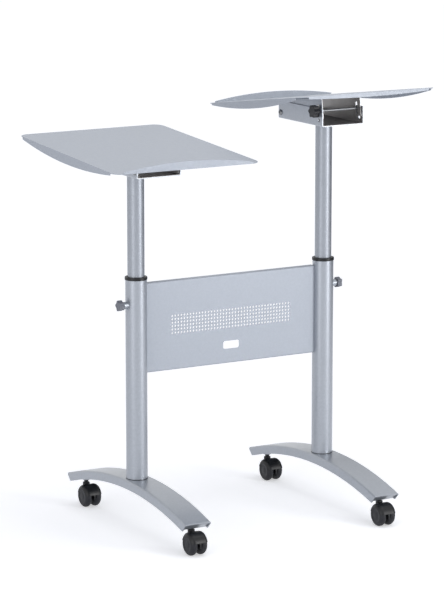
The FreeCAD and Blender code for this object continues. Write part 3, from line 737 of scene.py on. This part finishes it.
@dataclass
class GuideCollar:
    """The black ring in a column's mouth, with a rounded lip."""

    side: Side
    lip: float = 7.0 * MM
    round_off: float = 1.6 * MM
    bore: float = 19.08 * MM
    skirt: float = 21.95 * MM

    def build(self, shop: Paintshop) -> None:
        """Turns the ring in the place of its node."""
        node = "guide_collar_" + self.side.value
        low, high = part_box(node)
        centre = Vector(((low.x + high.x) / 2, (low.y + high.y) / 2, high.z))
        radius = (high.x - low.x) / 2
        edge = self.round_off
        profile = [(low.z - high.z, self.bore), (low.z - high.z, self.skirt),
                   (-self.lip, self.skirt), (-self.lip, radius - 0.3 * edge),
                   (-self.lip + 0.3 * edge, radius), (-edge, radius),
                   (-0.3 * edge, radius - 0.3 * edge), (0.0, radius - edge),
                   (0.0, self.bore + edge), (-0.3 * edge, self.bore + 0.3 * edge),
                   (-edge, self.bore)]
        bench = turned("ring_" + node, Axis.Z, centre, profile, hollow=True, segments=64)
        bench.smooth(40.0)
        bench.deliver("base", Slot.BLACK_PLASTIC, shop, node)


# Painted shade: a black ring drawn for the shadow in the gap where a column meets its foot.
@dataclass
class GapShadeRing:
    """A thin black ring of painted shade in the gap between a column and its foot."""

    side: Side
    foot_top: float = 116.0 * MM
    below: float = 0.9 * MM
    above: float = 1.0 * MM
    inner: float = 23.8 * MM
    outer: float = 24.5 * MM
    edge: float = 0.3 * MM

    def build(self, shop: Paintshop) -> None:
        """Turns the ring round the column's foot."""
        low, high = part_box("foot_" + self.side.value)
        centre = Vector(((low.x + high.x) / 2, 0.0, self.foot_top))
        profile = [(-self.below, self.inner), (-self.below, self.outer),
                   (self.above - self.edge, self.outer), (self.above, self.outer - self.edge),
                   (self.above, self.inner)]
        bench = turned("gap_shade_ring_" + self.side.value, Axis.Z, centre, profile, hollow=True,
                       segments=64)
        bench.smooth(40.0)
        bench.deliver("base", Slot.BLACK_PLASTIC, shop)


@dataclass
class PivotBolt:
    """The bolt across a bracket, with a domed head and a socket at each end."""

    side: Side
    head: float = 3.5 * MM
    shank: float = 4.0 * MM

    def build(self, shop: Paintshop) -> None:
        """Turns the bolt in the place of its node."""
        node = "tilt_pivot_" + self.side.value
        low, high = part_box(node)
        centre = (low + high) / 2
        radius = (high.z - low.z) / 2
        half = (high.x - low.x) / 2
        end = ((0.35, 0.0), (0.35, 0.33), (0.0, 0.36), (0.0, 0.55), (0.14, 0.8), (0.45, 0.95),
               (0.8, 1.0), (1.0, 1.0))
        left = [(-half + x * self.head, max(r, 0.02) * radius) for x, r in end]
        profile = left + [(-half + self.head, self.shank)]
        profile += [(-x, r) for x, r in reversed(profile)]
        bench = turned("bolt_" + node, Axis.X, centre, profile, segments=36)
        bench.smooth(40.0)
        bench.deliver("column_" + self.side.value, Slot.ZINC_STEEL, shop, node)


@dataclass
class PressedSheet:
    """A sheet-metal or moulded node with its sharp edges broken."""

    node: str
    body: str
    slot: Slot
    edge: float = 0.7 * MM
    sharp_deg: float = 35.0
    own_finish: Finish | None = None

    def shape(self, bench: Bench) -> None:
        """Changes the copy before its edges are broken; a plain sheet stays as it is."""

    def build(self, shop: Paintshop) -> None:
        """Rounds a copy of the node."""
        bench = Bench.copy_of(self.node, "rounded_" + self.node)
        self.shape(bench)
        bench.modify("BEVEL", width=self.edge, segments=3, limit_method="ANGLE",
                     angle_limit=math.radians(self.sharp_deg), use_clamp_overlap=True,
                     miter_outer="MITER_ARC")
        bench.smooth(self.sharp_deg)
        piece = bench.deliver(self.body, self.slot, shop, self.node)
        if self.own_finish:
            piece.data.materials[0] = shop.mix(self.own_finish)


@dataclass
class Shelf(PressedSheet):
    """A shelf whose side flanges are drawn in a little towards its plate."""

    mount: str = ""
    flange_depth: float = 1.0
    sheet: float = 2.0 * MM
    flange_zone: float = 6.0 * MM
    below_plate: float = 0.3 * MM

    def shape(self, bench: Bench) -> None:
        """Levels the shelf, draws its side flanges in and tilts it back."""
        rest = next(item for item in frame["record"]["mounts"] if item["name"] == self.mount)
        tilt = math.atan2(rest["axis"][1], rest["axis"][2])
        low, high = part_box(self.node)
        middle, half = (low.x + high.x) / 2, (high.x - low.x) / 2
        turn = {"orient_axis": "X", "orient_type": "GLOBAL", "center_override": rest["pos_m"]}
        under = rest["pos_m"][2] - self.sheet
        with bench.edit():
            bpy.ops.mesh.select_all(action="SELECT")
            bpy.ops.transform.rotate(value=-tilt, **turn)
            bench.pick(Pick.VERT, lambda at, _: at.z < under - self.below_plate
                       and abs(at.x - middle) > half - self.flange_zone)
            bpy.ops.transform.resize(value=(1.0, 1.0, self.flange_depth), orient_type="GLOBAL",
                                     center_override=(middle, 0.0, under))
            bpy.ops.mesh.select_all(action="SELECT")
            bpy.ops.transform.rotate(value=tilt, **turn)


@dataclass
class ArchedFoot:
    """A foot: a channel with round bends spun along its arch, closed at both ends."""

    side: Side
    length: float = 550.0 * MM
    width: float = 65.0 * MM
    apex: float = 116.0 * MM
    radius: float = 888.0 * MM
    depth: float = 20.0 * MM
    sheet: float = 2.5 * MM
    bend: float = 4.5 * MM
    end_slope: float = 1.45
    end_low: float = 57.6 * MM
    castor_gap: float = 485.0 * MM
    socket: float = 10.0 * MM
    socket_bore: float = 5.2 * MM
    socket_low: float = 60.0 * MM
    socket_edge: float = 0.6 * MM
    plate_drop: float = 0.5 * MM
    plate_inset: float = 0.15 * MM
    plate_edge: float = 0.4 * MM
    near: float = 0.05 * MM

    @property
    def hub(self) -> Vector:
        """The middle of the arch's circle."""
        low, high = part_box("foot_" + self.side.value)
        return Vector(((low.x + high.x) / 2, 0.0, self.apex - self.radius))

    def top(self, y: float) -> float:
        """The height of the arch at a distance from the middle."""
        return self.hub.z + math.sqrt(self.radius ** 2 - y ** 2)

    def build(self, shop: Paintshop) -> None:
        """Spins the channel, cuts its ends and adds the end plates and castor sockets."""
        node = "foot_" + self.side.value
        bench = self.channel("arched_" + node)
        for sign in (-1, 1):
            for part in (self.end_plate(sign), self.castor_socket(sign)):
                bench.modify("BOOLEAN", operation="UNION", solver="EXACT", object=part.obj)
                bpy.data.meshes.remove(part.obj.data)
        bench.close()
        bench.smooth(40.0)
        bench.deliver("base", Slot.SILVER_PAINT, shop, node)

    def channel(self, name: str) -> Bench:
        """The bare channel with its ends cut back below their top edge."""
        hub = self.hub
        Bench.clear()
        bpy.ops.mesh.primitive_plane_add(size=1.0, rotation=(math.pi / 2, 0.0, 0.0),
                                         location=(hub.x, 0.0, self.apex - self.depth / 2))
        bpy.context.object.scale = (self.width, self.depth, 1.0)
        bench = Bench.take(name)
        reach = math.asin(self.length / 2 / self.radius) + 0.02
        with bench.edit():
            bpy.ops.mesh.select_all(action="SELECT")
            bpy.ops.mesh.delete(type="ONLY_FACE")
            bench.pick(Pick.EDGE, lambda at, _: abs(at.z - self.apex + self.depth) < self.near)
            bpy.ops.mesh.delete(type="EDGE")
            bench.pick(Pick.VERT, lambda at, _: abs(at.z - self.apex) < self.near)
            bpy.ops.mesh.bevel(offset=self.bend, segments=8, affect="VERTICES")
            bpy.ops.mesh.select_all(action="SELECT")
            bpy.ops.transform.rotate(value=-reach, orient_axis="X", orient_type="GLOBAL",
                                     center_override=hub)
            bpy.ops.mesh.spin(steps=64, angle=2 * reach, center=hub, axis=(1.0, 0.0, 0.0))
            bpy.ops.mesh.select_all(action="SELECT")
            bpy.ops.mesh.normals_make_consistent(inside=False)
            crown = max(bmesh.from_edit_mesh(bench.obj.data).faces,
                        key=lambda face: face.calc_center_median().z)
            if crown.normal.z < 0:
                bpy.ops.mesh.flip_normals()
        bench.modify("SOLIDIFY", thickness=self.sheet, offset=-1.0, use_even_offset=True)
        for sign in (-1, 1):
            end = sign * self.length / 2
            with bench.edit():
                bpy.ops.mesh.select_all(action="SELECT")
                bpy.ops.mesh.bisect(plane_co=(0.0, end, self.top(end)),
                                    plane_no=(0.0, sign, -self.end_slope), clear_outer=True,
                                    use_fill=True)
        return bench

    def end_plate(self, sign: int) -> Bench:
        """The plate that closes one end, along the cut of the flanges."""
        end = self.length / 2
        high = self.top(end) - self.plate_drop
        fall = high - self.end_low
        run = Vector((0.0, -sign * self.end_slope * fall, -fall))
        face = Vector((0.0, sign, -self.end_slope)).normalized()
        middle = Vector((self.hub.x, sign * (end - self.end_slope * self.plate_drop), high))
        middle += run / 2 - face * (self.sheet / 2 + self.plate_inset)
        Bench.clear()
        bpy.ops.mesh.primitive_cube_add(size=1.0, location=middle,
                                        rotation=run.to_track_quat("Y", "Z").to_euler())
        bpy.context.object.scale = (self.width - 1.6 * self.sheet, run.length, self.sheet)
        bench = Bench.take("end_plate")
        bench.modify("BEVEL", width=self.plate_edge, segments=2)
        return bench

    def castor_socket(self, sign: int) -> Bench:
        """The socket for one castor's stem, cut to the arch at its top."""
        y = sign * self.castor_gap / 2
        high = self.top(y) - self.sheet / 2
        edge = self.socket_edge
        bench = turned("socket", Axis.Z, Vector((self.hub.x, y, 0.0)),
                       [(self.socket_low, self.socket_bore), (self.socket_low, self.socket - edge),
                        (self.socket_low + edge, self.socket), (high, self.socket),
                        (high, self.socket_bore)], hollow=True)
        with bench.edit():
            bench.pick(Pick.VERT, lambda at, _: abs(at.z - high) < self.near)
            bpy.ops.transform.rotate(value=math.asin(y / self.radius), orient_axis="X",
                                     orient_type="GLOBAL",
                                     center_override=(self.hub.x, y, high))
        return bench


@dataclass
class PerforatedPanel:
    """The folded sheet between the columns, with a field of round holes and a slot."""

    sheet: float = 1.5 * MM
    bend: float = 3.0 * MM
    hole: float = 4.5 * MM
    pitch: float = 7.8 * MM
    columns: int = 40
    rows: int = 6
    field_drop: float = 100.0 * MM
    slot_drop: float = 161.0 * MM
    slot_width: float = 42.0 * MM
    slot_height: float = 18.0 * MM
    slot_corner: float = 5.0 * MM
    near: float = 0.05 * MM

    def build(self, shop: Paintshop) -> None:
        """Folds the sheet, thickens it and cuts its holes."""
        low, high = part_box("panel")
        bench = self.fold(low, high)
        bench.modify("SOLIDIFY", thickness=self.sheet, offset=0.0, use_even_offset=True)
        bench.close()
        for tool in (self.pins(high.z), self.slot(high.z)):
            bench.modify("BOOLEAN", operation="DIFFERENCE", solver="EXACT", object=tool.obj)
            bpy.data.meshes.remove(tool.obj.data)
        bench.close()
        bench.smooth(30.0)
        piece = bench.deliver("base", Slot.SILVER_PAINT, shop, "panel")
        piece.data.materials[0] = shop.mix(SILVER_SHEET)

    def fold(self, low: Vector, high: Vector) -> Bench:
        """Folds the middle of the sheet back along its top and foot."""
        top, foot = high.z - self.sheet / 2, low.z + self.sheet / 2
        Bench.clear()
        bpy.ops.mesh.primitive_plane_add(size=1.0, rotation=(math.pi / 2, 0.0, 0.0),
                                         location=(0.0, 0.0, (top + foot) / 2))
        bpy.context.object.scale = (high.x - low.x, top - foot, 1.0)
        bench = Bench.take("perforated_panel")
        with bench.edit():
            for line in (top, foot):
                bench.pick(Pick.EDGE, lambda at, _: abs(at.z - line) < self.near)
                bpy.ops.mesh.extrude_region_move(TRANSFORM_OT_translate={"value": (0, high.y, 0)})
            bench.pick(Pick.EDGE, lambda at, run: abs(run.x) > 0.9 and abs(at.y) < self.near)
            bpy.ops.mesh.bevel(offset=self.bend - self.sheet / 2, segments=6, affect="EDGES")
        return bench

    def pins(self, top: float) -> Bench:
        """The punches of the hole field."""
        Bench.clear()
        start = (-(self.columns - 1) / 2 * self.pitch, 0.0,
                 top - self.field_drop - (self.rows - 1) / 2 * self.pitch)
        bpy.ops.mesh.primitive_cylinder_add(vertices=20, radius=self.hole / 2, depth=4 * self.sheet,
                                            rotation=(math.pi / 2, 0.0, 0.0), location=start)
        bench = Bench.take("pins")
        for count, step in ((self.columns, (self.pitch, 0.0, 0.0)),
                            (self.rows, (0.0, 0.0, self.pitch))):
            bench.modify("ARRAY", count=count, use_relative_offset=False,
                         use_constant_offset=True, constant_offset_displace=step)
        return bench

    def slot(self, top: float) -> Bench:
        """The punch of the slot, with round corners."""
        Bench.clear()
        bpy.ops.mesh.primitive_cube_add(size=1.0, location=(0.0, 0.0, top - self.slot_drop))
        bpy.context.object.scale = (self.slot_width, 4 * self.sheet, self.slot_height)
        bench = Bench.take("slot_punch")
        with bench.edit():
            bench.pick(Pick.EDGE, lambda _, run: abs(run.y) > 0.9)
            bpy.ops.mesh.bevel(offset=self.slot_corner, segments=6, affect="EDGES")
        return bench


# Studio


@dataclass
class PhotoCamera:
    """The camera at the photograph's place, level and unshifted."""

    place: tuple[float, float, float] = (-3.5116, -5.9284, 1.8198)
    yaw: float = 0.5318
    pitch: float = 0.1897
    focal_px: float = 3116.6
    frame_px: float = 600.0
    sensor_mm: float = 36.0

    def build(self) -> None:
        """Makes the scene's camera."""
        data = bpy.data.cameras.new("camera")
        data.sensor_width = self.sensor_mm
        data.lens = self.focal_px / self.frame_px * self.sensor_mm
        data.clip_end = 100.0
        camera = bpy.data.objects.new("camera", data)
        camera.location = self.place
        camera.rotation_euler = (math.pi / 2 - self.pitch, 0.0, -self.yaw)
        bpy.context.scene.collection.objects.link(camera)
        bpy.context.scene.camera = camera


@dataclass
class SoftBox:
    """A rectangular studio lamp aimed at the table."""

    name: str
    place: tuple[float, float, float]
    watts: float
    width: float
    height: float
    target: tuple[float, float, float] = (0.0, 0.0, 0.5)

    def build(self) -> None:
        """Makes the lamp."""
        data = bpy.data.lights.new(self.name, "AREA")
        data.energy = self.watts
        data.shape = "RECTANGLE"
        data.size = self.width
        data.size_y = self.height
        lamp = bpy.data.objects.new(self.name, data)
        lamp.location = self.place
        aim = Vector(self.target) - Vector(self.place)
        lamp.rotation_euler = aim.to_track_quat("-Z", "Y").to_euler()
        bpy.context.scene.collection.objects.link(lamp)


@dataclass
class Studio:
    """A white room: an even world, a pale floor and soft lamps."""

    ambient: float = 0.44
    floor_width: float = 80.0
    glow_near: float = 0.46
    glow_far: float = 0.66
    flag_place: tuple[float, float, float] = (2.6, 0.9, 0.9)
    flag_size: tuple[float, float, float] = (1.8, 5.0, 1.0)

    @staticmethod
    def seen(tree: bpy.types.NodeTree) -> bpy.types.NodeSocket:
        """1 for rays from the camera, a reflection or a transmission, else 0."""
        path = add_node(tree, "ShaderNodeLightPath")
        first = add_node(tree, "ShaderNodeMath", {0: path.outputs["Is Camera Ray"],
                                                  1: path.outputs["Is Glossy Ray"]},
                         operation="MAXIMUM")
        both = add_node(tree, "ShaderNodeMath", {0: first.outputs[0],
                                                 1: path.outputs["Is Transmission Ray"]},
                        operation="MAXIMUM")
        return both.outputs[0]

    def build(self) -> None:
        """Makes the world, the floor and the lamps."""
        bpy.context.scene.view_settings.view_transform = "Standard"
        self.build_world()
        self.build_floor()
        self.build_flag()
        for lamp in (SoftBox("key_strip", (1.7, -2.95, 0.95), 38.0, 0.9, 1.8),
                     SoftBox("left_box", (-3.2, -1.35, 0.95), 21.0, 1.8, 1.8),
                     SoftBox("top_box", (0.2, -0.4, 3.8), 40.0, 2.6, 2.6)):
            lamp.build()

    def build_world(self) -> None:
        """Makes a world that looks white and lights softly."""
        world = bpy.data.worlds.new("studio")
        bpy.context.scene.world = world
        world.use_nodes = True
        tree = world.node_tree
        tree.nodes.clear()
        soft = add_node(tree, "ShaderNodeBackground", {"Color": linear("#f4f6ff"),
                                                       "Strength": self.ambient})
        white = add_node(tree, "ShaderNodeBackground", {"Color": linear("#ffffff"),
                                                        "Strength": 1.0})
        mix = add_node(tree, "ShaderNodeMixShader", {0: self.seen(tree), 1: soft.outputs[0],
                                                     2: white.outputs[0]})
        add_node(tree, "ShaderNodeOutputWorld", {"Surface": mix.outputs[0]})

    def build_floor(self) -> None:
        """Makes a pale paper floor that looks white and takes a faint shadow."""
        Bench.clear()
        bpy.ops.mesh.primitive_plane_add(size=self.floor_width)
        floor = Bench.take("floor").obj
        material = bpy.data.materials.new("white_paper_floor")
        material.use_nodes = True
        tree = material.node_tree
        tree.nodes.clear()
        paper = add_node(tree, "ShaderNodeBsdfDiffuse", {"Color": linear("#f0f1f3")})
        place = add_node(tree, "ShaderNodeTexCoord").outputs["Object"]
        away = add_node(tree, "ShaderNodeVectorMath", {0: place}, operation="LENGTH")
        level = add_node(tree, "ShaderNodeMapRange",
                         {"Value": away.outputs["Value"], "From Min": 1.0, "From Max": 5.0,
                          "To Min": self.glow_near, "To Max": self.glow_far})
        share = add_node(tree, "ShaderNodeMath", {0: self.seen(tree), 1: level.outputs["Result"]},
                         operation="MULTIPLY")
        glow = add_node(tree, "ShaderNodeEmission", {"Color": linear("#ffffff"),
                                                     "Strength": share.outputs[0]})
        both = add_node(tree, "ShaderNodeAddShader", {0: paper.outputs[0], 1: glow.outputs[0]})
        add_node(tree, "ShaderNodeOutputMaterial", {"Surface": both.outputs[0]})
        floor.data.materials.append(material)

    def build_flag(self) -> None:
        """Makes a dark card at the right, out of the picture, that draws the tubes' edges."""
        Bench.clear()
        bpy.ops.mesh.primitive_plane_add(size=1.0, location=self.flag_place,
                                         rotation=(0.0, -math.pi / 2, 0.0))
        bpy.context.object.scale = self.flag_size
        card = Bench.take("flag").obj
        material = bpy.data.materials.new("black_card")
        material.use_nodes = True
        tree = material.node_tree
        tree.nodes.clear()
        felt = add_node(tree, "ShaderNodeBsdfDiffuse", {"Color": linear("#303032")})
        add_node(tree, "ShaderNodeOutputMaterial", {"Surface": felt.outputs[0]})
        card.data.materials.append(material)
        card.visible_camera = False
        card.visible_diffuse = False
        card.visible_shadow = False


def main() -> None:
    """Builds the camera, the studio and every piece."""
    logging.basicConfig(level=logging.INFO)
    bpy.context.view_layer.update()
    PhotoCamera().build()
    Studio().build()
    shop = Paintshop()
    shop.coat(frame["record"])
    for side in Side:
        hand = side.value
        plan = PLANS[side]
        shelf, tray, rest = (plan.use + ending for ending in ("_shelf", "_tray", "_rest"))
        StarGrip("clamp_knob_" + hand, "clamp_screw_" + hand, "clamp_" + hand, Slot.GREY_PLASTIC,
                 5, plan.outward).build(shop)
        StarGrip("tilt_knob_" + hand, "tilt_rod_" + hand, "tilt_grip_" + hand, Slot.KNOB_PLASTIC,
                 6, -plan.outward).build(shop)
        GuideCollar(side).build(shop)
        PivotBolt(side).build(shop)
        Shelf(shelf, tray, Slot.SILVER_PAINT, own_finish=SILVER_SHEET, mount=rest,
              flange_depth=plan.flange_depth).build(shop)
        saddle, bracket = "saddle_" + hand, "lower_bracket_" + hand
        # The saddle and the bracket get painted shade inside their channels.
        PressedSheet(saddle, tray, Slot.SILVER_PAINT,
                     own_finish=coat_with_inside_shade(saddle, 50.5, 0.0)).build(shop)
        PressedSheet(bracket, "column_" + hand, Slot.SILVER_PAINT,
                     own_finish=coat_with_inside_shade(bracket, 53.0, 1.5)).build(shop)
        ArchedFoot(side).build(shop)
        # The black ring at the column's foot is painted shade of the gap there.
        GapShadeRing(side).build(shop)
    TwinCastor().build(shop)
    PerforatedPanel().build(shop)


if __name__ == "__main__":
    main()
